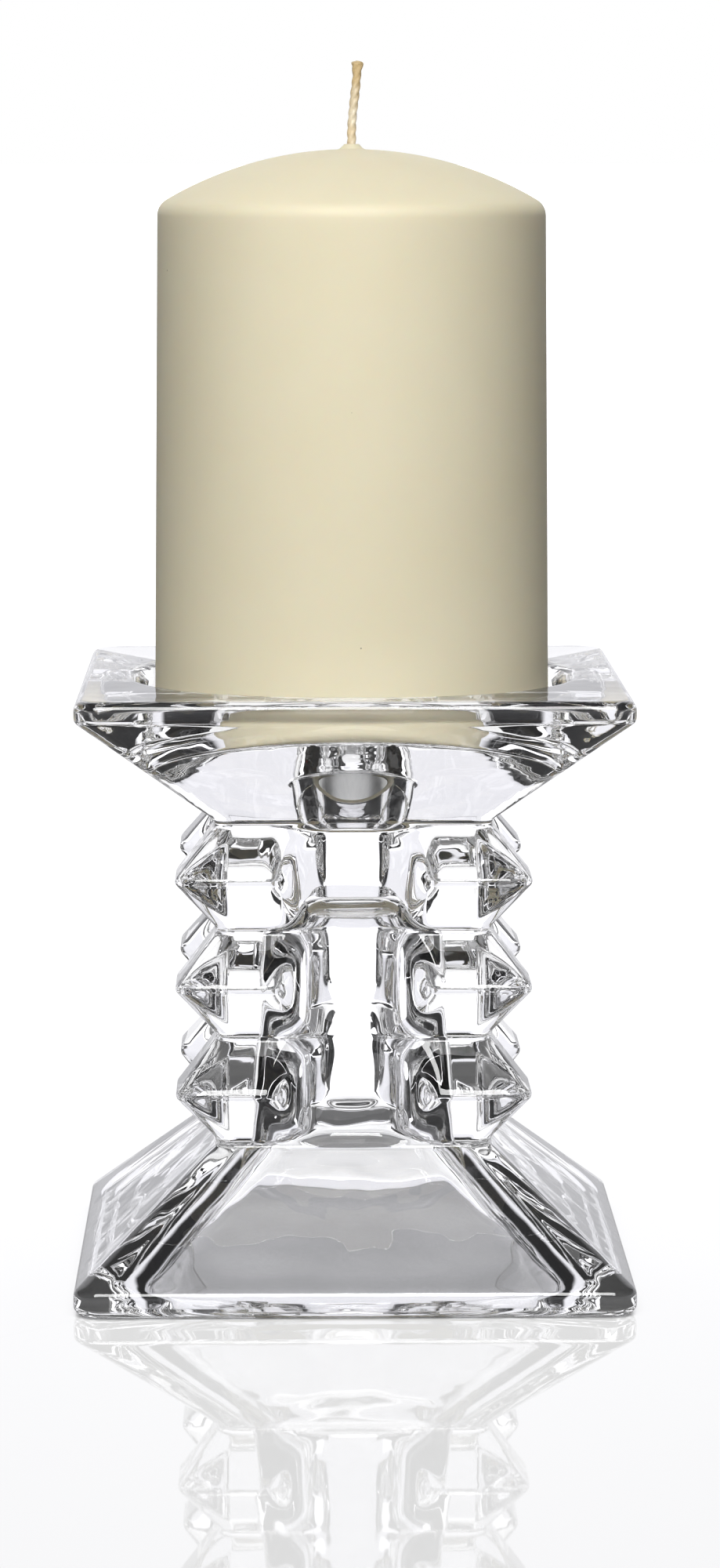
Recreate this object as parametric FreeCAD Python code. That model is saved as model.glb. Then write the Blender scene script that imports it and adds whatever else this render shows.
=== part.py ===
import FreeCAD, Part
import math
import os

V = FreeCAD.Vector
UP = V(0, 0, 1)

# Holder: outside sizes in millimetres
DISH_SIDE = 97.0
FOOT_SIDE = 98.4
HOLDER_HEIGHT = 107.8
FOOT_RIM = 4.2
DISH_RIM = 3.8
STEM_BOTTOM = 26.1
TIER_COUNT = 3
TIER_PITCH = 19.1
RIDGE_HALF = 31.9
WAIST_HALF = 24.2

# Holder: rounded corners and edges
RIM_CORNER = 4.0
TIER_CORNER = 4.2
RIDGE_FILLET = 1.4
WAIST_FILLET = 1.2
RIM_FILLET = 1.8

# Holder: the upright flute pressed into the middle of each stem face
FLUTE_WIDTH = 26.6
FLUTE_CORNER = 11.0
FLUTE_FLOOR = 22.2

# Holder: the plunger hollow that runs up from the foot into the stem
FOOT_RING = 7.2
HOLLOW_NECK_HALF = 18.6
HOLLOW_NECK = 23.0
HOLLOW_TOP_HALF = 15.4
HOLLOW_TOP = 69.0
HOLLOW_MOUTH_CORNER = 12.0
HOLLOW_NECK_CORNER = 7.0
HOLLOW_TOP_CORNER = 8.0
HOLLOW_MOUTH_FILLET = 3.0
HOLLOW_NECK_FILLET = 3.0
HOLLOW_TOP_FILLET = 6.0

# Holder: the round seat for a pillar and the socket for a taper below it
SEAT_DIAMETER = 79.4
SEAT_DEPTH = 6.0
SEAT_DRAFT = 8.0
SEAT_FILLET = 1.2
SOCKET_MOUTH_DIAMETER = 22.6
SOCKET_FOOT_DIAMETER = 18.2
SOCKET_DEPTH = 17.0
SOCKET_LIP = 0.9

# Pillar candle
CANDLE_FOOT_DIAMETER = 71.0
CANDLE_TOP_DIAMETER = 69.4
CANDLE_HEIGHT = 99.8
CANDLE_DOME = 9.9
CANDLE_SHOULDER_FILLET = 1.6
CANDLE_FOOT_FILLET = 0.8
CANDLE_FOOT_RING = 2.5
CANDLE_FOOT_DISHING = 0.3

# Wick and its sustainer
WICK_DIAMETER = 1.8
WICK_FREE_RISE = 15.6
WICK_BEND_RADIUS = 42.0
WICK_LEAN = 9.0
WICK_END_ROUND = 0.3
WICK_CLEARANCE = 0.1
COLLAR_HEIGHT = 3.5
COLLAR_WALL = 0.4
TAB_DIAMETER = 19.0
TAB_THICKNESS = 0.4
TAB_CLEARANCE = 0.1

STEM_TOP = STEM_BOTTOM + TIER_COUNT * TIER_PITCH
SEAT_FLOOR = HOLDER_HEIGHT - SEAT_DEPTH
CANDLE_TOP = SEAT_FLOOR + CANDLE_HEIGHT
HOLLOW_MOUTH_HALF = FOOT_SIDE / 2 - FOOT_RING


# A square with rounded corners, centred on the axis at one height
def rounded_square(half, corner, z):
    inner = half - corner
    bulge = inner + corner * math.sqrt(0.5)
    edges = []
    for quarter in range(4):
        turn = FreeCAD.Rotation(UP, 90 * quarter)
        start = turn.multVec(V(half, -inner, z))
        end = turn.multVec(V(half, inner, z))
        middle = turn.multVec(V(bulge, bulge, z))
        after = turn.multVec(V(inner, half, z))
        edges.append(Part.makeLine(start, end))
        edges.append(Part.Arc(end, middle, after).toShape())
    return Part.Wire(edges)


# A solid with flat sides through a list of (half side, corner radius, height)
def stacked(levels):
    wires = [rounded_square(half, corner, z) for half, corner, z in levels]
    return Part.makeLoft(wires, True, True)


# The edges of a solid that lie wholly at one height
def edges_at(solid, z):
    found = []
    for edge in solid.Edges:
        box = edge.BoundBox
        if abs(box.ZMin - z) < 1e-4 and abs(box.ZMax - z) < 1e-4:
            found.append(edge)
    return found


# How far an edge reaches from the axis along X or Y
def reach(edge):
    box = edge.BoundBox
    return max(box.XMax, box.YMax, -box.XMin, -box.YMin)


# The outside of the holder: foot pyramid, tiers and dish, with softened ridges
def holder_outside():
    foot = FOOT_SIDE / 2
    dish = DISH_SIDE / 2
    levels = [(foot, RIM_CORNER, 0), (foot, RIM_CORNER, FOOT_RIM), (WAIST_HALF, TIER_CORNER, STEM_BOTTOM)]
    ridges = []
    waists = [STEM_BOTTOM]
    for tier in range(TIER_COUNT):
        ridge = STEM_BOTTOM + (tier + 0.5) * TIER_PITCH
        waist = STEM_BOTTOM + (tier + 1) * TIER_PITCH
        levels.append((RIDGE_HALF, TIER_CORNER, ridge))
        levels.append((WAIST_HALF, TIER_CORNER, waist))
        ridges.append(ridge)
        waists.append(waist)
    levels.append((dish, RIM_CORNER, HOLDER_HEIGHT - DISH_RIM))
    levels.append((dish, RIM_CORNER, HOLDER_HEIGHT))
    body = stacked(levels)
    rims = [0, FOOT_RIM, HOLDER_HEIGHT - DISH_RIM, HOLDER_HEIGHT]
    for radius, heights in ((RIDGE_FILLET, ridges), (WAIST_FILLET, waists), (RIM_FILLET, rims)):
        edges = [edge for z in heights for edge in edges_at(body, z)]
        body = body.makeFillet(radius, edges)
    return body


# Four upright flutes, one in the middle of each stem face
def flutes():
    length = STEM_TOP - STEM_BOTTOM
    corner = V(FLUTE_FLOOR, -FLUTE_WIDTH / 2, STEM_BOTTOM)
    channel = Part.makeBox(FOOT_SIDE / 2, FLUTE_WIDTH, length, corner)
    inner = []
    for edge in channel.Edges:
        upright = edge.BoundBox.ZLength > length / 2
        if upright and reach(edge) < FLUTE_FLOOR + FLUTE_CORNER:
            inner.append(edge)
    channel = channel.makeFillet(FLUTE_CORNER, inner)
    cut = []
    for quarter in range(4):
        turned = channel.copy()
        turned.rotate(V(0, 0, 0), UP, 90 * quarter)
        cut.append(turned)
    return cut


# The hollow left by the plunger: a pyramid in the foot, then a drafted shaft in the stem
def hollow():
    levels = [
        (HOLLOW_MOUTH_HALF, HOLLOW_MOUTH_CORNER, 0),
        (HOLLOW_NECK_HALF, HOLLOW_NECK_CORNER, HOLLOW_NECK),
        (HOLLOW_TOP_HALF, HOLLOW_TOP_CORNER, HOLLOW_TOP),
    ]
    core = stacked(levels)
    core = core.makeFillet(HOLLOW_TOP_FILLET, edges_at(core, HOLLOW_TOP))
    return core.makeFillet(HOLLOW_NECK_FILLET, edges_at(core, HOLLOW_NECK))


# The seat and the taper socket, turned as one cutting shape
def seat_and_socket():
    mouth = SEAT_DIAMETER / 2
    floor = mouth - SEAT_DEPTH * math.tan(math.radians(SEAT_DRAFT))
    lip = SOCKET_MOUTH_DIAMETER / 2
    foot = SOCKET_FOOT_DIAMETER / 2
    bottom = SEAT_FLOOR - SOCKET_DEPTH
    profile = [
        V(0, 0, bottom),
        V(foot, 0, bottom),
        V(lip, 0, SEAT_FLOOR),
        V(floor, 0, SEAT_FLOOR),
        V(mouth, 0, HOLDER_HEIGHT),
        V(0, 0, HOLDER_HEIGHT),
        V(0, 0, bottom),
    ]
    cut = Part.Face(Part.makePolygon(profile)).revolve(V(0, 0, 0), UP, 360)
    floor_edges = [edge for edge in edges_at(cut, SEAT_FLOOR) if reach(edge) > lip + SOCKET_LIP]
    cut = cut.makeFillet(SEAT_FILLET, floor_edges)
    lip_edges = [edge for edge in edges_at(cut, SEAT_FLOOR) if reach(edge) < lip + SOCKET_LIP]
    return cut.makeFillet(SOCKET_LIP, lip_edges)


# The whole pressing
def glass_holder():
    body = holder_outside()
    for flute in flutes():
        body = body.cut(flute)
    body = body.cut(hollow())
    mouth = [edge for edge in edges_at(body, 0) if reach(edge) < HOLLOW_MOUTH_HALF + HOLLOW_MOUTH_FILLET / 2]
    body = body.makeFillet(HOLLOW_MOUTH_FILLET, mouth)
    body = body.cut(seat_and_socket())
    return body.removeSplitter()


# The wax pillar: drafted side, domed top, wick bore and sustainer pocket
def candle_body():
    foot = CANDLE_FOOT_DIAMETER / 2
    top = CANDLE_TOP_DIAMETER / 2
    shoulder = CANDLE_TOP - CANDLE_DOME
    crown = (top ** 2 + CANDLE_DOME ** 2) / (2 * CANDLE_DOME)
    half_angle = math.asin(top / crown) / 2
    middle = V(crown * math.sin(half_angle), 0, CANDLE_TOP - crown * (1 - math.cos(half_angle)))
    apex = V(0, 0, CANDLE_TOP)
    dishing = V(0, 0, SEAT_FLOOR + CANDLE_FOOT_DISHING)
    ring = V(foot - CANDLE_FOOT_RING, 0, SEAT_FLOOR)
    side = Part.makePolygon([apex, dishing, ring, V(foot, 0, SEAT_FLOOR), V(top, 0, shoulder)])
    dome = Part.Arc(V(top, 0, shoulder), middle, apex).toShape()
    wax = Part.Face(Part.Wire(side.Edges + [dome])).revolve(V(0, 0, 0), UP, 360)
    wax = wax.makeFillet(CANDLE_SHOULDER_FILLET, edges_at(wax, shoulder))
    foot_edges = [edge for edge in edges_at(wax, SEAT_FLOOR) if reach(edge) > foot - CANDLE_FOOT_FILLET]
    wax = wax.makeFillet(CANDLE_FOOT_FILLET, foot_edges)
    base = V(0, 0, SEAT_FLOOR)
    bore = Part.makeCylinder(WICK_DIAMETER / 2 + WICK_CLEARANCE, CANDLE_HEIGHT, base)
    tab = Part.makeCylinder(TAB_DIAMETER / 2 + TAB_CLEARANCE, TAB_THICKNESS + TAB_CLEARANCE, base)
    collar_radius = WICK_DIAMETER / 2 + COLLAR_WALL + TAB_CLEARANCE
    collar = Part.makeCylinder(collar_radius, COLLAR_HEIGHT + TAB_CLEARANCE, base)
    for cut in (bore, tab, collar):
        wax = wax.cut(cut)
    return wax


# The wick: straight through the wax, then a lean to the right and back towards upright
def wick():
    start = V(0, 0, SEAT_FLOOR + TAB_THICKNESS)
    lean = math.radians(WICK_LEAN)
    sweep_rise = WICK_BEND_RADIUS * math.sin(lean)
    sweep_shift = WICK_BEND_RADIUS * (1 - math.cos(lean))
    half_rise = WICK_BEND_RADIUS * math.sin(lean / 2)
    half_shift = WICK_BEND_RADIUS * (1 - math.cos(lean / 2))
    bend = V(0, 0, CANDLE_TOP + WICK_FREE_RISE - 2 * sweep_rise)
    turn = bend + V(sweep_shift, 0, sweep_rise)
    tip = bend + V(2 * sweep_shift, 0, 2 * sweep_rise)
    lower = Part.Arc(bend, bend + V(half_shift, 0, half_rise), turn).toShape()
    upper = Part.Arc(turn, tip - V(half_shift, 0, half_rise), tip).toShape()
    path = Part.Wire([Part.makeLine(start, bend), lower, upper])
    section = Part.Wire(Part.makeCircle(WICK_DIAMETER / 2, start, UP))
    cord = path.makePipeShell([section], True, True)
    return cord.makeFillet(WICK_END_ROUND, edges_at(cord, tip.z))


# The sustainer: a thin tab with a collar crimped on the foot of the wick
def wick_sustainer():
    base = V(0, 0, SEAT_FLOOR)
    tab = Part.makeCylinder(TAB_DIAMETER / 2, TAB_THICKNESS, base)
    outer = Part.makeCylinder(WICK_DIAMETER / 2 + COLLAR_WALL, COLLAR_HEIGHT, base)
    grip = Part.makeCylinder(WICK_DIAMETER / 2, COLLAR_HEIGHT, base + UP * TAB_THICKNESS)
    return tab.fuse(outer).cut(grip).removeSplitter()


os.makedirs("parts", exist_ok=True)
for make in (glass_holder, candle_body, wick, wick_sustainer):
    make().exportStep("parts/" + make.__name__ + ".step")
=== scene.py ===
import math
import bpy
import numpy as np
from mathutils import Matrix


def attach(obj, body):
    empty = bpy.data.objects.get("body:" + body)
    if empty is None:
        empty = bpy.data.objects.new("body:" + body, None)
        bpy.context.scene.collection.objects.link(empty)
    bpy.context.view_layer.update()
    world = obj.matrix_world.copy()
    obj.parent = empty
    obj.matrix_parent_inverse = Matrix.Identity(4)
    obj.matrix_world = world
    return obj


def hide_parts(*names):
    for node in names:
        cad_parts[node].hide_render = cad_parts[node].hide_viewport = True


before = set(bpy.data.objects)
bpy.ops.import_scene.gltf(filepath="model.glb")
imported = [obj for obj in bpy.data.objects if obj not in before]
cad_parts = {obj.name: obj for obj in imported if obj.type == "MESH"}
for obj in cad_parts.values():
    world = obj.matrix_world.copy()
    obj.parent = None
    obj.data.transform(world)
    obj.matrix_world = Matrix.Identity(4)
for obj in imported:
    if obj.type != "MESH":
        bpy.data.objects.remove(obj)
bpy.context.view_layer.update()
scene = bpy.context.scene
scene.view_settings.view_transform = "Standard"

# Light is thrown about inside the tiers many times before it leaves the glass
GLASS_BOUNCES = 32
scene.cycles.max_bounces = GLASS_BOUNCES
scene.cycles.transmission_bounces = GLASS_BOUNCES
scene.cycles.glossy_bounces = GLASS_BOUNCES
MM = 0.001

# Camera, from the corners of dish and foot in the photograph
IMAGE_HEIGHT = 2000
FOCAL_PIXELS = 6400
SENSOR = 36
CAMERA_PLACE = (-12.5, -901.5, 204.8)
CAMERA_DOWN = 7.416
CAMERA_TURN = -0.89
CAMERA_REACH = 50

# Glass holder: outside, in millimetres
DISH_HALF = 48.5
FOOT_HALF = 49.2
HOLDER_HEIGHT = 107.8
FOOT_RIM = 4.2
DISH_RIM = 3.8
STEM_BOTTOM = 26.1
TIER_COUNT = 3
TIER_PITCH = 19.1
RIDGE_HALF = 31.9
WAIST_HALF = 24.2
RIM_CORNER = 4.0
TIER_CORNER = 4.2
DISH_RIM_ROUND = 1.8
FOOT_RIM_ROUND = 1.9
RIDGE_ROUND = 1.4
WAIST_ROUND = 1.2
DISH_TOP_EDGE = DISH_HALF - 2.5
FOOT_FLAT_EDGE = FOOT_HALF - FOOT_RIM_ROUND - 0.5

# Glass holder: flute in the middle of each stem face
FLUTE_HALF = 13.3
FLUTE_CORNER = 11.0
FLUTE_FLOOR = 22.2
FLUTE_SOFTENING = 3.0
FLUTE_RUN_OUT = 1.6
FLUTE_CLEARING = 1.0

# Glass holder: hollow under foot and stem
MOUTH_ROUND = 3.0
HOLLOW_MOUTH_HALF = 42.0
HOLLOW_MOUTH_CORNER = 9.5
HOLLOW_NECK_HALF = 18.6
HOLLOW_NECK_CORNER = 7.0
HOLLOW_NECK_ROUND = 3.0
HOLLOW_NECK = 23.0
HOLLOW_TOP_HALF = 15.4
HOLLOW_TOP_CORNER = 8.0
HOLLOW_TOP_ROUND = 6.0
HOLLOW_TOP = 69.0
RIPPLE_HEIGHT = 0.25
RIPPLE_LENGTH = 16
RIPPLE_WAVES = 6
RIPPLE_SPREAD = (0.7, 1.6)
RIPPLE_SEED = 4

# Glass holder: seat for the pillar and socket for a taper
SEAT_RADIUS = 39.7
SEAT_DEPTH = 6.0
SEAT_DRAFT = 0.8
SEAT_FOOT_ROUND = 1.2
SEAT_LIP_ROUND = 1.0
SOCKET_MOUTH = 11.3
SOCKET_FOOT = 9.1
SOCKET_DEPTH = 17.0
SOCKET_FOOT_ROUND = 1.5
SOCKET_LIP_ROUND = 0.9

# Fineness of the turned and pressed skins
AXIS_LOOP = 0.05
COLUMNS = 480
CORNER_CROWDING = 0.12
ROW_STEP = 1.0
SEAT_ROW_STEP = 2.0
HOLLOW_ROW_STEP = 1.5
ROUND_STEP = 11
BISECTIONS = 46
CANDLE_COLUMNS = 192
CANDLE_ROW_STEP = 2
DOME_ROWS = 24
WICK_COLUMNS = 36
WICK_ROWS = 96
WICK_BURIED_ROWS = 8

# Pillar candle, in millimetres
CANDLE_FOOT_RADIUS = 35.5
CANDLE_TOP_RADIUS = 34.7
CANDLE_TOP = 201.6
CANDLE_DOME = 9.9
CANDLE_SHOULDER_ROUND = 3.2
CANDLE_FOOT_ROUND = 0.8
CANDLE_FOOT_RING = 3
CANDLE_STAND_OFF = 0.05
CANDLE_RING_LIFT = 0.1
CANDLE_FOOT_DISHING = 0.35
TAB_RADIUS = 9.6
TAB_POCKET = 0.7
CRIMP_GAP = 0.5
CRIMP_POCKET = 3.7
BORE_GAP = 0.1
BORE_TOP_DEPTH = 2

# Collar of wax drawn up round the foot of the wick
COLLAR_RISE = 0.9
COLLAR_WALL = 0.3
COLLAR_FOOT = 1.2
COLLAR_SINK = 0.05
COLLAR_LIP_ROUND = 0.1
COLLAR_EDGE_ROUND = 0.2
COLLAR_SWEEP = 1.2
DOME_START = 3

# Wick, in millimetres
WICK_RADIUS = 0.9
WICK_FREE_RISE = 15.6
WICK_BEND_RISE = 13.1
WICK_SHIFT = 1.03
WICK_FOOT = 0.45
WICK_BURIED = 3
WICK_LAY = 5.5
WICK_SLIM = 0.84
WICK_WAVER = 0.05
WICK_WAVER_RATE = 0.9
STRANDS = 3
STRAND_RELIEF = 0.09
KNOB_LENGTH = 3.2
KNOB_SWELL = 0.45
KNOB_FLATNESS = 0.05
CUT_ROUND = 0.6
CUT_END = 0.995

# Surface patterns, real sizes in millimetres
CORD_SPACING = 9.0
CORD_HEIGHT = 0.14
WAX_CLOUD = 22
WAX_GRAIN = 2.5
WAX_GRAIN_HEIGHT = 0.04
WAX_SINK = 5
SPECK_SPACING = 8
SPECK_CORE = 0.010
SPECK_EDGE = 0.022
WAX_PATCH = 7
COTTON_FIBRE = 0.8
COTTON_FIBRE_HEIGHT = 0.06
ROLLING_STREAK = 0.6
ROLLING_STRETCH = 0.08

GLASS_CLEAR = "#fefeff"
WAX_DEEP = "#e8debe"
WAX_PALE = "#eee6ca"
DUST_SPECK = "#6b5d48"
COTTON_TAN = "#dcc190"
COTTON_WAXED = "#f3e6cb"
TIN_DULL = "#b9bab8"
TIN_BRIGHT = "#dadad6"
WHITE = "#ffffff"
COOL_WHITE = "#f9f9fe"
TABLE_TONE = "#555555"
CARD_BLACK = "#191919"

# Studio: edges of the bright panels in degrees, levels against white as 1
BACK_PANEL = (30, 40)
FRONT_PANEL = (135, 150)
FRONT_SILL = (12, 14)
FRONT_LINTEL = (19.2, 20.2)
CEILING = (38, 48)
HORIZON = (18, 26)
FRONT_LEVEL = 0.95
DARK_GAP = 0.02
FILL = 0.03
# Table glow: painted shadow, dimmed by ambient occlusion from TABLE_GLOW to SHADOW_GLOW near the foot
TABLE_GLOW = 0.64
SHADOW_GLOW = 0.11
SHADOW_SPAN = (0.2, 0.55)
SHADOW_REACH = 0.05
TABLE_IN_SHEEN = 0.2
TABLE_IN_GLASS = 1.4
TABLE_HALF = 30

# Studio: black cards, in millimetres
CARD_NEAR = 85
CARD_FAR = 1500
CARD_FRONT = -400
CARD_BACK = 400
CARD_LIFT = 0.3

# Studio: height that the softboxes are turned to, in metres
AIM_HEIGHT = 0.15

STEM_TOP = STEM_BOTTOM + TIER_COUNT * TIER_PITCH
SEAT_FLOOR = HOLDER_HEIGHT - SEAT_DEPTH


# Linear colour from a written sRGB hex value
def linear(hex_colour):
    channels = [int(hex_colour[i:i + 2], 16) / 255 for i in (1, 3, 5)]
    return tuple(c / 12.92 if c <= 0.04045 else ((c + 0.055) / 1.055) ** 2.4 for c in channels) + (1,)


# One shader node with its settings and links
def add(tree, kind, settings=(), **links):
    node = tree.nodes.new(kind)
    for name, value in dict(settings).items():
        if isinstance(name, str) and hasattr(node, name):
            setattr(node, name, value)
        else:
            node.inputs[name].default_value = value
    for name, source in links.items():
        key = int(name[1:]) if name[0] == "i" and name[1:].isdigit() else name.replace("_", " ")
        tree.links.new(source, node.inputs[key])
    return node


# An empty material with its node tree and its surface shader
def new_material(name):
    material = bpy.data.materials.new(name)
    material.use_nodes = True
    return material, material.node_tree, material.node_tree.nodes["Principled BSDF"]


# Profile corners (half side, corner radius, height, fillet) turned into closely spaced rows
def soften(corners, step):
    rows = []
    last = len(corners) - 1
    for i, (half, corner, z, fillet) in enumerate(corners):
        here = np.array([half, z, corner], float)
        if i in (0, last) or fillet == 0:
            rows.append(here)
            continue
        before = np.array([corners[i - 1][0], corners[i - 1][2], corners[i - 1][1]], float) - here
        after = np.array([corners[i + 1][0], corners[i + 1][2], corners[i + 1][1]], float) - here
        u = before[:2] / np.linalg.norm(before[:2])
        v = after[:2] / np.linalg.norm(after[:2])
        opening = math.acos(max(-1, min(1, float(u @ v))))
        reach = fillet / math.tan(opening / 2)
        start = here + before * reach / np.linalg.norm(before[:2])
        end = here + after * reach / np.linalg.norm(after[:2])
        centre = here[:2] + (u + v) / np.linalg.norm(u + v) * fillet / math.sin(opening / 2)
        turn = math.pi - opening
        count = max(3, math.ceil(turn / math.radians(ROUND_STEP)))
        a = start[:2] - centre
        b = end[:2] - centre
        for t in np.linspace(0, 1, count + 1):
            spin = (math.sin((1 - t) * turn) * a + math.sin(t * turn) * b) / math.sin(turn)
            rows.append(np.append(centre + spin, start[2] * (1 - t) + end[2] * t))
    dense = [rows[0]]
    for row in rows[1:]:
        base = dense[-1]
        pieces = max(1, round(np.linalg.norm((row - base)[:2]) / step))
        for k in range(1, pieces + 1):
            dense.append(base + (row - base) * k / pieces)
    return np.array(dense)


# Distance outside a square with rounded corners, negative inside
def square_distance(x, y, half, corner):
    inner = half - corner
    across = np.abs(x) - inner
    along = np.abs(y) - inner
    outside = np.hypot(np.maximum(across, 0), np.maximum(along, 0))
    return outside + np.minimum(np.maximum(across, along), 0) - corner


# Depth inside the nearest of the four flutes, run out at both ends of the stem
def flute_depth(x, y, z):
    near = np.maximum(np.abs(x), np.abs(y))
    side = np.minimum(np.abs(x), np.abs(y))
    end = np.minimum(z - STEM_BOTTOM, STEM_TOP - z)
    lift = np.clip(1 - end / FLUTE_RUN_OUT, 0, None) ** 2
    floor = FLUTE_FLOOR + lift * (WAIST_HALF - FLUTE_FLOOR + FLUTE_CLEARING)
    across = side - FLUTE_HALF + FLUTE_CORNER
    down = floor + FLUTE_CORNER - near
    outside = np.hypot(np.maximum(across, 0), np.maximum(down, 0))
    return FLUTE_CORNER - outside - np.minimum(np.maximum(across, down), 0)


# Where rays from the stem's axis leave the glass, for every row and direction
def loops(rows, angles, fluted):
    half, z, corner = (rows[:, k:k + 1] for k in range(3))
    c = np.cos(angles)[None, :]
    s = np.sin(angles)[None, :]
    low = np.zeros((len(rows), len(angles)))
    high = np.broadcast_to(half * 1.5 + 0.01, low.shape).copy()
    for _ in range(BISECTIONS):
        mid = (low + high) / 2
        d = square_distance(mid * c, mid * s, half, corner)
        if fluted:
            cut = flute_depth(mid * c, mid * s, z)
            h = np.clip(0.5 + 0.5 * (cut - d) / FLUTE_SOFTENING, 0, 1)
            d = d * (1 - h) + cut * h + FLUTE_SOFTENING * h * (1 - h)
        inside = d < 0
        low = np.where(inside, mid, low)
        high = np.where(inside, high, mid)
    return np.stack([mid * c, mid * s, np.broadcast_to(z, mid.shape)], -1)


# Slow unevenness of the pressed hollow: crossing waves along the normals, none where it meets the table
def ripple(grid):
    rng = np.random.default_rng(RIPPLE_SEED)
    across = np.roll(grid, -1, 1) - np.roll(grid, 1, 1)
    along = np.gradient(grid, axis=0)
    normal = np.cross(along, across)
    normal /= np.maximum(np.linalg.norm(normal, axis=-1, keepdims=True), 1e-9)
    wave = 0
    for _ in range(RIPPLE_WAVES):
        direction = rng.normal(size=3)
        length = RIPPLE_LENGTH * rng.uniform(*RIPPLE_SPREAD)
        direction *= 2 * math.pi / (length * np.linalg.norm(direction))
        wave = wave + np.sin(grid @ direction + rng.uniform(0, 2 * math.pi))
    settle = np.clip(grid[..., 2:] / RIPPLE_LENGTH, 0, 1)
    return grid + normal * (wave * RIPPLE_HEIGHT / RIPPLE_WAVES)[..., None] * settle


# A closed skin over rows of loops, ending on the axis or wrapped round to its first row
def skin(name, grid, ring=False):
    count, columns = grid.shape[:2]
    points = grid.reshape(-1, 3)
    rows = np.arange(count if ring else count - 1)[:, None]
    k = np.arange(columns)[None, :]
    n = (k + 1) % columns
    here = rows * columns
    after = (rows + 1) % count * columns
    faces = np.stack([here + k, after + k, after + n, here + n], -1).reshape(-1, 4).tolist()
    if not ring:
        points = np.concatenate([points, [grid[0].mean(0), grid[-1].mean(0)]])
        first = count * columns
        tail = first - columns
        for a, b in zip(k[0].tolist(), n[0].tolist()):
            faces.append((first, a, b))
        for a, b in zip(k[0].tolist(), n[0].tolist()):
            faces.append((first + 1, tail + b, tail + a))
    mesh = bpy.data.meshes.new(name)
    mesh.from_pydata((points * MM).tolist(), [], faces)
    mesh.polygons.foreach_set("use_smooth", [True] * len(mesh.polygons))
    mesh.update()
    piece = bpy.data.objects.new(name, mesh)
    scene.collection.objects.link(piece)
    return piece


# Puts a piece on its body, in place of a node of the frame
def place(piece, body, node):
    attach(piece, body)
    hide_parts(node)


# The pressed holder: one skin from the socket floor, over dish, stem and foot, up into the hollow
def glass_holder():
    socket_floor = SEAT_FLOOR - SOCKET_DEPTH
    seat_foot = SEAT_RADIUS - SEAT_DRAFT
    inside = [
        (AXIS_LOOP, AXIS_LOOP, socket_floor, 0),
        (SOCKET_FOOT, SOCKET_FOOT, socket_floor, SOCKET_FOOT_ROUND),
        (SOCKET_MOUTH, SOCKET_MOUTH, SEAT_FLOOR, SOCKET_LIP_ROUND),
        (seat_foot, seat_foot, SEAT_FLOOR, SEAT_FOOT_ROUND),
        (SEAT_RADIUS, SEAT_RADIUS, HOLDER_HEIGHT, SEAT_LIP_ROUND),
        (DISH_TOP_EDGE, RIM_CORNER, HOLDER_HEIGHT, 0),
    ]
    outside = [
        (DISH_TOP_EDGE, RIM_CORNER, HOLDER_HEIGHT, 0),
        (DISH_HALF, RIM_CORNER, HOLDER_HEIGHT, DISH_RIM_ROUND),
        (DISH_HALF, RIM_CORNER, HOLDER_HEIGHT - DISH_RIM, DISH_RIM_ROUND),
        (WAIST_HALF, TIER_CORNER, STEM_TOP, WAIST_ROUND),
    ]
    for tier in reversed(range(TIER_COUNT)):
        ridge = STEM_BOTTOM + (tier + 0.5) * TIER_PITCH
        outside.append((RIDGE_HALF, TIER_CORNER, ridge, RIDGE_ROUND))
        outside.append((WAIST_HALF, TIER_CORNER, ridge - TIER_PITCH / 2, WAIST_ROUND))
    outside += [
        (FOOT_HALF, RIM_CORNER, FOOT_RIM, FOOT_RIM_ROUND),
        (FOOT_HALF, RIM_CORNER, 0, FOOT_RIM_ROUND),
        (FOOT_FLAT_EDGE, RIM_CORNER, 0, 0),
    ]
    under = [
        (FOOT_FLAT_EDGE, RIM_CORNER, 0, 0),
        (HOLLOW_MOUTH_HALF, HOLLOW_MOUTH_CORNER, 0, MOUTH_ROUND),
        (HOLLOW_NECK_HALF, HOLLOW_NECK_CORNER, HOLLOW_NECK, HOLLOW_NECK_ROUND),
        (HOLLOW_TOP_HALF, HOLLOW_TOP_CORNER, HOLLOW_TOP, HOLLOW_TOP_ROUND),
        (AXIS_LOOP, AXIS_LOOP, HOLLOW_TOP, 0),
    ]
    turns = np.linspace(0, 2 * math.pi, COLUMNS + 1)[:-1]
    angles = turns + CORNER_CROWDING * np.sin(4 * turns)
    grid = np.concatenate([
        loops(soften(inside, SEAT_ROW_STEP), angles, False)[:-1],
        loops(soften(outside, ROW_STEP), angles, True)[:-1],
        ripple(loops(soften(under, HOLLOW_ROW_STEP), angles, False)),
    ])
    piece = skin("pressed_holder", grid)
    place(piece, "holder", "glass_holder")
    return piece


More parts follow.
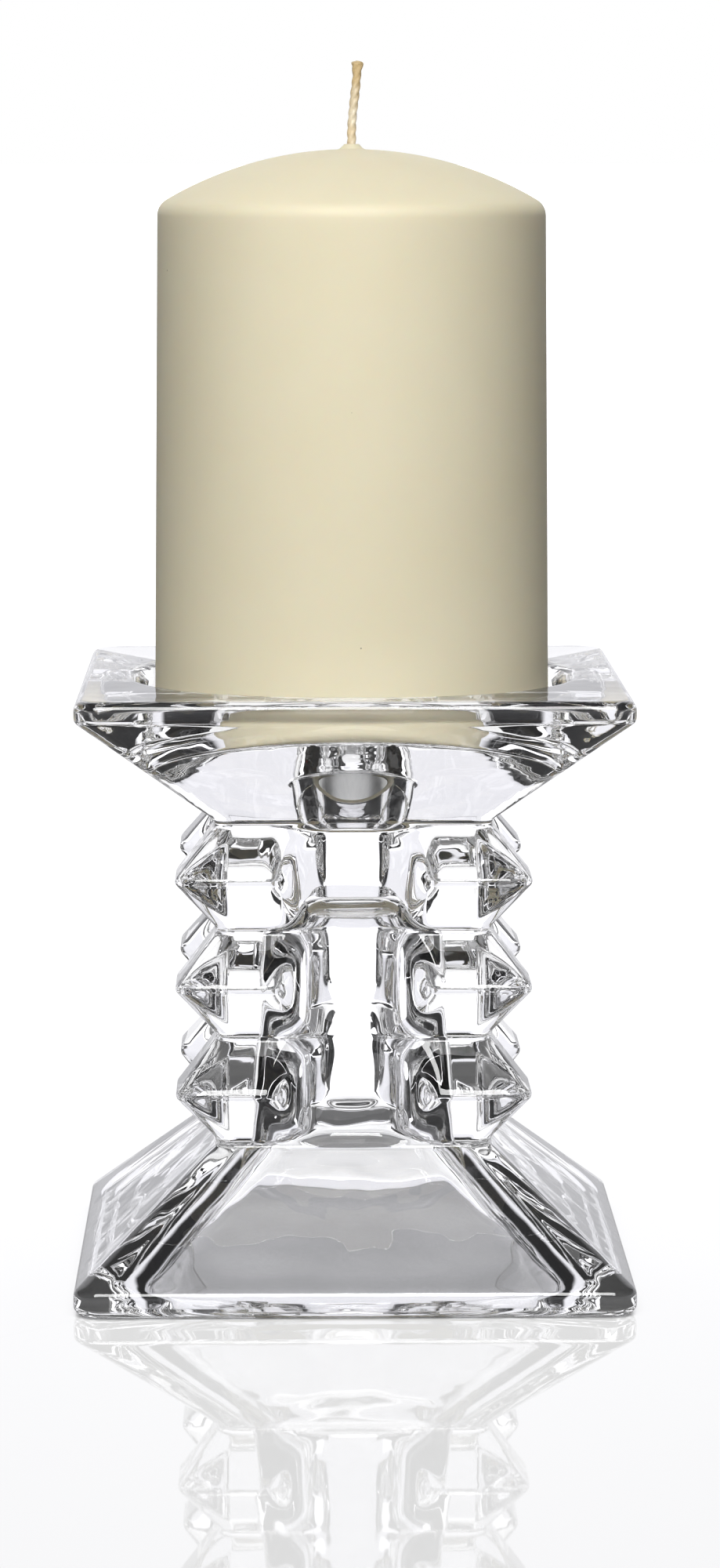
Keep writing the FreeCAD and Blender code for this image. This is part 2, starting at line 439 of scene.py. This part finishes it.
# The pillar: a turned skin with a hollowed foot, a pocket for the sustainer and a bore for the wick
def pillar_candle():
    crown = (CANDLE_TOP_RADIUS ** 2 + CANDLE_DOME ** 2) / (2 * CANDLE_DOME)
    bore = WICK_RADIUS + BORE_GAP
    outline = [
        (bore, 0, CANDLE_TOP - BORE_TOP_DEPTH, 0),
        (bore, 0, CANDLE_TOP + COLLAR_RISE, COLLAR_LIP_ROUND),
        (bore + COLLAR_WALL, 0, CANDLE_TOP + COLLAR_RISE, COLLAR_EDGE_ROUND),
        (bore + COLLAR_FOOT, 0, CANDLE_TOP - COLLAR_SINK, COLLAR_SWEEP),
    ]
    for r in np.linspace(bore + DOME_START, CANDLE_TOP_RADIUS - CANDLE_SHOULDER_ROUND, DOME_ROWS):
        outline.append((r, 0, CANDLE_TOP - crown + math.sqrt(crown ** 2 - r ** 2), 0))
    outline += [
        (CANDLE_TOP_RADIUS, 0, CANDLE_TOP - CANDLE_DOME, CANDLE_SHOULDER_ROUND),
        (CANDLE_FOOT_RADIUS, 0, SEAT_FLOOR + CANDLE_STAND_OFF, CANDLE_FOOT_ROUND),
        (CANDLE_FOOT_RADIUS - CANDLE_FOOT_RING, 0, SEAT_FLOOR + CANDLE_RING_LIFT, 0),
        (TAB_RADIUS, 0, SEAT_FLOOR + CANDLE_FOOT_DISHING, 0),
        (TAB_RADIUS, 0, SEAT_FLOOR + TAB_POCKET, 0),
        (bore + CRIMP_GAP, 0, SEAT_FLOOR + TAB_POCKET, 0),
        (bore + CRIMP_GAP, 0, SEAT_FLOOR + CRIMP_POCKET, 0),
        (bore, 0, SEAT_FLOOR + CRIMP_POCKET, 0),
    ]
    rows = soften(outline, CANDLE_ROW_STEP)
    turns = np.linspace(0, 2 * math.pi, CANDLE_COLUMNS + 1)[:-1][None, :]
    r = rows[:, 0:1]
    z = rows[:, 1:2]
    grid = np.stack([r * np.cos(turns), r * np.sin(turns), z + 0 * turns], -1)
    piece = skin("pillar_candle", grid[::-1], True)
    place(piece, "candle", "candle_body")
    return piece


# The wick: three strands twisted together, leaning to the right, with a swollen cut tip
def twisted_wick():
    tip = CANDLE_TOP + WICK_FREE_RISE
    surface = CANDLE_TOP - WICK_BURIED
    low = np.linspace(SEAT_FLOOR + WICK_FOOT, surface, WICK_BURIED_ROWS + 1)[:-1]
    z = np.concatenate([low, np.linspace(surface, tip, WICK_ROWS)])[:, None]
    turns = np.linspace(0, 2 * math.pi, WICK_COLUMNS + 1)[:-1][None, :]
    lean = np.clip((z - tip + WICK_BEND_RISE) / WICK_BEND_RISE, 0, 1)
    shift = WICK_SHIFT * lean ** 2 * (3 - 2 * lean)
    knob = np.clip((z - tip + KNOB_LENGTH) / KNOB_LENGTH, 0, 1)
    waver = WICK_WAVER * np.sin(WICK_WAVER_RATE * z) * lean
    girth = WICK_RADIUS * (WICK_SLIM + waver + KNOB_SWELL * knob ** 2)
    twist = STRANDS * (turns - 2 * math.pi * z / WICK_LAY)
    strands = 1 + STRAND_RELIEF * np.cos(twist) + KNOB_FLATNESS * knob * np.cos(2 * turns + 1)
    cut = np.sqrt(1 - np.clip((z - tip + CUT_ROUND) / CUT_ROUND, 0, CUT_END) ** 2)
    r = girth * strands * cut
    grid = np.stack([shift + r * np.cos(turns), r * np.sin(turns), z + 0 * turns], -1)
    piece = skin("twisted_wick", grid[::-1])
    place(piece, "candle", "wick")
    return piece


# Soda-lime glass, pressed and fire-polished: clear, sharp reflections, slow waves from the mould
def pressed_glass():
    material, tree, surface = new_material("pressed_clear_glass")
    surface.inputs["Base Color"].default_value = linear(GLASS_CLEAR)
    surface.inputs["Transmission Weight"].default_value = 1
    surface.inputs["Roughness"].default_value = 0
    surface.inputs["IOR"].default_value = 1.52
    where = add(tree, "ShaderNodeTexCoord").outputs["Object"]
    cords = {"Scale": 1 / (CORD_SPACING * MM), "Detail": 1}
    cords = add(tree, "ShaderNodeTexNoise", cords, Vector=where).outputs["Fac"]
    wavy = add(tree, "ShaderNodeBump", {"Strength": 1, "Distance": CORD_HEIGHT * MM}, Height=cords)
    tree.links.new(wavy.outputs["Normal"], surface.inputs["Normal"])
    return material


# Paraffin wax cast in a mould: clouded ivory, satin, light sinks in; a few specks of dust
def moulded_wax():
    material, tree, surface = new_material("moulded_ivory_wax")
    where = add(tree, "ShaderNodeTexCoord").outputs["Object"]
    cloud = {"Scale": 1 / (WAX_CLOUD * MM), "Detail": 3}
    cloud = add(tree, "ShaderNodeTexNoise", cloud, Vector=where).outputs["Fac"]
    ivory = {"data_type": "RGBA", 6: linear(WAX_DEEP), 7: linear(WAX_PALE)}
    ivory = add(tree, "ShaderNodeMix", ivory, i0=cloud).outputs[2]
    grit = {"Scale": 1 / (SPECK_SPACING * MM)}
    grit = add(tree, "ShaderNodeTexVoronoi", grit, Vector=where).outputs["Distance"]
    speck = {"From Min": SPECK_CORE, "From Max": SPECK_EDGE, "To Min": 1, "To Max": 0}
    speck = add(tree, "ShaderNodeMapRange", speck, Value=grit).outputs["Result"]
    speckled = {"data_type": "RGBA", 7: linear(DUST_SPECK)}
    speckled = add(tree, "ShaderNodeMix", speckled, i0=speck, i6=ivory).outputs[2]
    tree.links.new(speckled, surface.inputs["Base Color"])
    grain = {"Scale": 1 / (WAX_GRAIN * MM), "Detail": 2}
    grain = add(tree, "ShaderNodeTexNoise", grain, Vector=where).outputs["Fac"]
    satin = add(tree, "ShaderNodeMapRange", {"To Min": 0.48, "To Max": 0.58}, Value=grain)
    tree.links.new(satin.outputs["Result"], surface.inputs["Roughness"])
    uneven = {"Strength": 0.3, "Distance": WAX_GRAIN_HEIGHT * MM}
    uneven = add(tree, "ShaderNodeBump", uneven, Height=grain).outputs["Normal"]
    tree.links.new(uneven, surface.inputs["Normal"])
    surface.inputs["IOR"].default_value = 1.44
    surface.inputs["Specular IOR Level"].default_value = 0.3
    surface.inputs["Subsurface Weight"].default_value = 0.15
    surface.inputs["Subsurface Radius"].default_value = (1, 0.6, 0.3)
    surface.inputs["Subsurface Scale"].default_value = WAX_SINK * MM
    return material


# Cotton cord dipped in wax: tan thread, paler where the wax lies thick; fibres drawn coarse so they show
def waxed_cotton():
    material, tree, surface = new_material("waxed_cotton_cord")
    where = add(tree, "ShaderNodeTexCoord").outputs["Object"]
    patches = {"Scale": 1 / (WAX_PATCH * MM), "Detail": 2}
    patches = add(tree, "ShaderNodeTexNoise", patches, Vector=where).outputs["Fac"]
    thick = {"From Min": 0.42, "From Max": 0.62}
    thick = add(tree, "ShaderNodeMapRange", thick, Value=patches).outputs["Result"]
    cotton = {"data_type": "RGBA", 6: linear(COTTON_TAN), 7: linear(COTTON_WAXED)}
    cotton = add(tree, "ShaderNodeMix", cotton, i0=thick).outputs[2]
    fibre = {"Scale": 1 / (COTTON_FIBRE * MM), "Detail": 3}
    fibre = add(tree, "ShaderNodeTexNoise", fibre, Vector=where).outputs["Fac"]
    shade = {"data_type": "RGBA", "blend_type": "MULTIPLY", 0: 0.2}
    shade = add(tree, "ShaderNodeMix", shade, i6=cotton, i7=fibre).outputs[2]
    tree.links.new(shade, surface.inputs["Base Color"])
    rough = add(tree, "ShaderNodeMapRange", {"To Min": 0.7, "To Max": 0.35}, Value=thick)
    tree.links.new(rough.outputs["Result"], surface.inputs["Roughness"])
    fuzz = {"Strength": 0.4, "Distance": COTTON_FIBRE_HEIGHT * MM}
    fuzz = add(tree, "ShaderNodeBump", fuzz, Height=fibre).outputs["Normal"]
    tree.links.new(fuzz, surface.inputs["Normal"])
    return material


# Tinplate stamped from sheet: pale grey metal, a dull bloom, rolling streaks drawn coarse so they show
def stamped_tinplate():
    material, tree, surface = new_material("stamped_tinplate")
    surface.inputs["Metallic"].default_value = 1
    where = add(tree, "ShaderNodeTexCoord").outputs["Object"]
    rolled = {"vector_type": "POINT", "Scale": (1, ROLLING_STRETCH, 1)}
    rolled = add(tree, "ShaderNodeMapping", rolled, Vector=where).outputs["Vector"]
    streak = {"Scale": 1 / (ROLLING_STREAK * MM), "Detail": 3}
    streak = add(tree, "ShaderNodeTexNoise", streak, Vector=rolled).outputs["Fac"]
    grey = {"data_type": "RGBA", 6: linear(TIN_DULL), 7: linear(TIN_BRIGHT)}
    grey = add(tree, "ShaderNodeMix", grey, i0=streak).outputs[2]
    tree.links.new(grey, surface.inputs["Base Color"])
    bloom = add(tree, "ShaderNodeMapRange", {"To Min": 0.22, "To Max": 0.45}, Value=streak)
    tree.links.new(bloom.outputs["Result"], surface.inputs["Roughness"])
    return material


# The photograph's viewpoint
def camera():
    data = bpy.data.cameras.new("camera")
    data.sensor_width = SENSOR
    data.lens = FOCAL_PIXELS / IMAGE_HEIGHT * SENSOR
    data.clip_end = CAMERA_REACH
    view = bpy.data.objects.new("camera", data)
    view.location = [v * MM for v in CAMERA_PLACE]
    view.rotation_euler = (math.radians(90 - CAMERA_DOWN), 0, math.radians(CAMERA_TURN))
    scene.collection.objects.link(view)
    scene.camera = view


# Studio surround: the camera sees white, glass sees bright panels between dark gaps, wax a low fill
def surround():
    world = bpy.data.worlds.new("studio")
    scene.world = world
    world.use_nodes = True
    tree = world.node_tree
    background = tree.nodes["Background"]
    sky = add(tree, "ShaderNodeTexCoord").outputs["Generated"]
    x, y, z = add(tree, "ShaderNodeSeparateXYZ", i0=sky).outputs
    bearing = add(tree, "ShaderNodeMath", {"operation": "ARCTAN2"}, i0=x, i1=y).outputs[0]
    bearing = add(tree, "ShaderNodeMath", {"operation": "ABSOLUTE"}, i0=bearing).outputs[0]
    edges = {
        "back": (bearing, BACK_PANEL, 1, 0),
        "front": (bearing, FRONT_PANEL, 0, FRONT_LEVEL),
        "sill": (z, FRONT_SILL, 0, 1),
        "lintel": (z, FRONT_LINTEL, 1, 0),
        "ceiling": (z, CEILING, 1, 0),
        "horizon": (z, HORIZON, 1, 0),
    }
    lit = {}
    for name, (source, degrees, start, end) in edges.items():
        near, far = [math.radians(v) for v in degrees]
        if source is z:
            near = math.sin(near)
            far = math.sin(far)
        ramp = {"interpolation_type": "SMOOTHSTEP", "To Min": start, "To Max": end}
        ramp.update({"From Min": near, "From Max": far})
        lit[name] = add(tree, "ShaderNodeMapRange", ramp, Value=source).outputs["Result"]
    front = add(tree, "ShaderNodeMath", {"operation": "MULTIPLY"}, i0=lit["front"], i1=lit["lintel"])
    panels = {"operation": "MULTIPLY_ADD"}
    panels = add(tree, "ShaderNodeMath", panels, i0=front.outputs[0], i1=lit["sill"], i2=lit["back"])
    gaps = {"operation": "MULTIPLY_ADD", 2: DARK_GAP}
    panels = add(tree, "ShaderNodeMath", gaps, i0=panels.outputs[0], i1=lit["ceiling"]).outputs[0]
    rays = add(tree, "ShaderNodeLightPath").outputs
    glossy = rays["Is Glossy Ray"]
    through = rays["Is Transmission Ray"]
    clear = add(tree, "ShaderNodeMath", {"operation": "MAXIMUM"}, i0=glossy, i1=through).outputs[0]
    level = add(tree, "ShaderNodeMix", {2: FILL}, i0=clear, i3=panels).outputs[0]
    mirror = {"operation": "SUBTRACT", "use_clamp": True}
    mirror = add(tree, "ShaderNodeMath", mirror, i0=glossy, i1=through).outputs[0]
    horizon = add(tree, "ShaderNodeMath", {"operation": "MULTIPLY"}, i0=lit["horizon"], i1=mirror)
    level = add(tree, "ShaderNodeMath", {"operation": "MAXIMUM"}, i0=level, i1=horizon.outputs[0])
    seen = rays["Is Camera Ray"]
    level = add(tree, "ShaderNodeMath", {"operation": "MAXIMUM"}, i0=level.outputs[0], i1=seen)
    tree.links.new(level.outputs[0], background.inputs["Strength"])
    cool = {"data_type": "RGBA", 6: linear(COOL_WHITE), 7: linear(WHITE)}
    cool = add(tree, "ShaderNodeMix", cool, i0=seen).outputs[2]
    tree.links.new(cool, background.inputs["Color"])


# Pale glossy table top glowing white to the camera where nothing stands on it, with a painted shadow:
# ambient occlusion dims the glow close to the foot
def table():
    mesh = bpy.data.meshes.new("table")
    corners = [(-TABLE_HALF, -TABLE_HALF, 0), (TABLE_HALF, -TABLE_HALF, 0)]
    corners += [(TABLE_HALF, TABLE_HALF, 0), (-TABLE_HALF, TABLE_HALF, 0)]
    mesh.from_pydata(corners, [], [(0, 1, 2, 3)])
    piece = bpy.data.objects.new("table", mesh)
    scene.collection.objects.link(piece)
    material, tree, surface = new_material("pale_table")
    surface.inputs["Base Color"].default_value = linear(TABLE_TONE)
    surface.inputs["Roughness"].default_value = 0.02
    surface.inputs["Specular IOR Level"].default_value = 0.55
    # Painted shadow: ambient occlusion within SHADOW_REACH lowers the table's emission beside and under
    # the foot
    painted_shadow_ao = {"samples": 8, "Distance": SHADOW_REACH}
    painted_shadow_ao = add(tree, "ShaderNodeAmbientOcclusion", painted_shadow_ao).outputs["AO"]
    glow = {"From Min": SHADOW_SPAN[0], "From Max": SHADOW_SPAN[1]}
    glow.update({"To Min": SHADOW_GLOW, "To Max": TABLE_GLOW})
    glow = add(tree, "ShaderNodeMapRange", glow, Value=painted_shadow_ao).outputs["Result"]
    rays = add(tree, "ShaderNodeLightPath").outputs
    sheen = {"operation": "MULTIPLY", 1: TABLE_IN_SHEEN}
    sheen = add(tree, "ShaderNodeMath", sheen, i0=rays["Is Glossy Ray"]).outputs[0]
    clear = {"operation": "MULTIPLY", 1: TABLE_IN_GLASS}
    clear = add(tree, "ShaderNodeMath", clear, i0=rays["Is Transmission Ray"]).outputs[0]
    clear = add(tree, "ShaderNodeMath", {"operation": "MAXIMUM"}, i0=sheen, i1=clear).outputs[0]
    seen = rays["Is Camera Ray"]
    clear = add(tree, "ShaderNodeMath", {"operation": "MAXIMUM"}, i0=clear, i1=seen).outputs[0]
    glow = add(tree, "ShaderNodeMath", {"operation": "MULTIPLY"}, i0=glow, i1=clear).outputs[0]
    surface.inputs["Emission Color"].default_value = linear(WHITE)
    tree.links.new(glow, surface.inputs["Emission Strength"])
    mesh.materials.append(material)


# Black cards lying left and right of the holder, which only the glass sees: they draw its dark edges
def black_cards():
    material, _, surface = new_material("black_card")
    surface.inputs["Base Color"].default_value = linear(CARD_BLACK)
    surface.inputs["Specular IOR Level"].default_value = 0
    for side in (-1, 1):
        near = side * CARD_NEAR * MM
        far = side * CARD_FAR * MM
        front = CARD_FRONT * MM
        deep = CARD_BACK * MM
        lift = CARD_LIFT * MM
        corners = [(near, front, lift), (far, front, lift), (far, deep, lift), (near, deep, lift)]
        mesh = bpy.data.meshes.new("black_card")
        mesh.from_pydata(corners, [], [(0, 1, 2, 3)])
        mesh.materials.append(material)
        card = bpy.data.objects.new("black_card", mesh)
        card.visible_camera = False
        card.visible_diffuse = False
        card.visible_glossy = False
        card.visible_shadow = False
        scene.collection.objects.link(card)


# A softbox turned to the candle, in metres and watts; the sheen one shows only in reflections
def softbox(name, spot, size, power, sheen=False):
    lamp = bpy.data.lights.new(name, "AREA")
    lamp.shape = "RECTANGLE"
    lamp.size, lamp.size_y = size
    lamp.energy = power
    piece = bpy.data.objects.new(name, lamp)
    piece.location = spot
    aim = -piece.location
    aim.z += AIM_HEIGHT
    piece.rotation_euler = aim.to_track_quat("-Z", "Y").to_euler()
    piece.visible_camera = False
    piece.visible_diffuse = not sheen
    piece.visible_glossy = sheen
    piece.visible_transmission = False
    scene.collection.objects.link(piece)


camera()
surround()
table()
black_cards()
softbox("front_softbox", (-0.055, -0.6, 0.46), (0.25, 0.3), 4.1)
softbox("left_rear_softbox", (-0.3, 0.52, 0.5), (0.3, 0.3), 1.6)
softbox("right_rear_softbox", (0.3, 0.52, 0.5), (0.3, 0.3), 1.6)
softbox("top_softbox", (0.0, -0.05, 0.95), (0.25, 0.25), 1.2)
softbox("sheen_softbox", (-0.03, -0.5, 0.6), (0.4, 0.4), 7, sheen=True)
glass_holder().data.materials.append(pressed_glass())
pillar_candle().data.materials.append(moulded_wax())
twisted_wick().data.materials.append(waxed_cotton())
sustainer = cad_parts["wick_sustainer"]
sustainer.data.materials.clear()
sustainer.data.materials.append(stamped_tinplate())
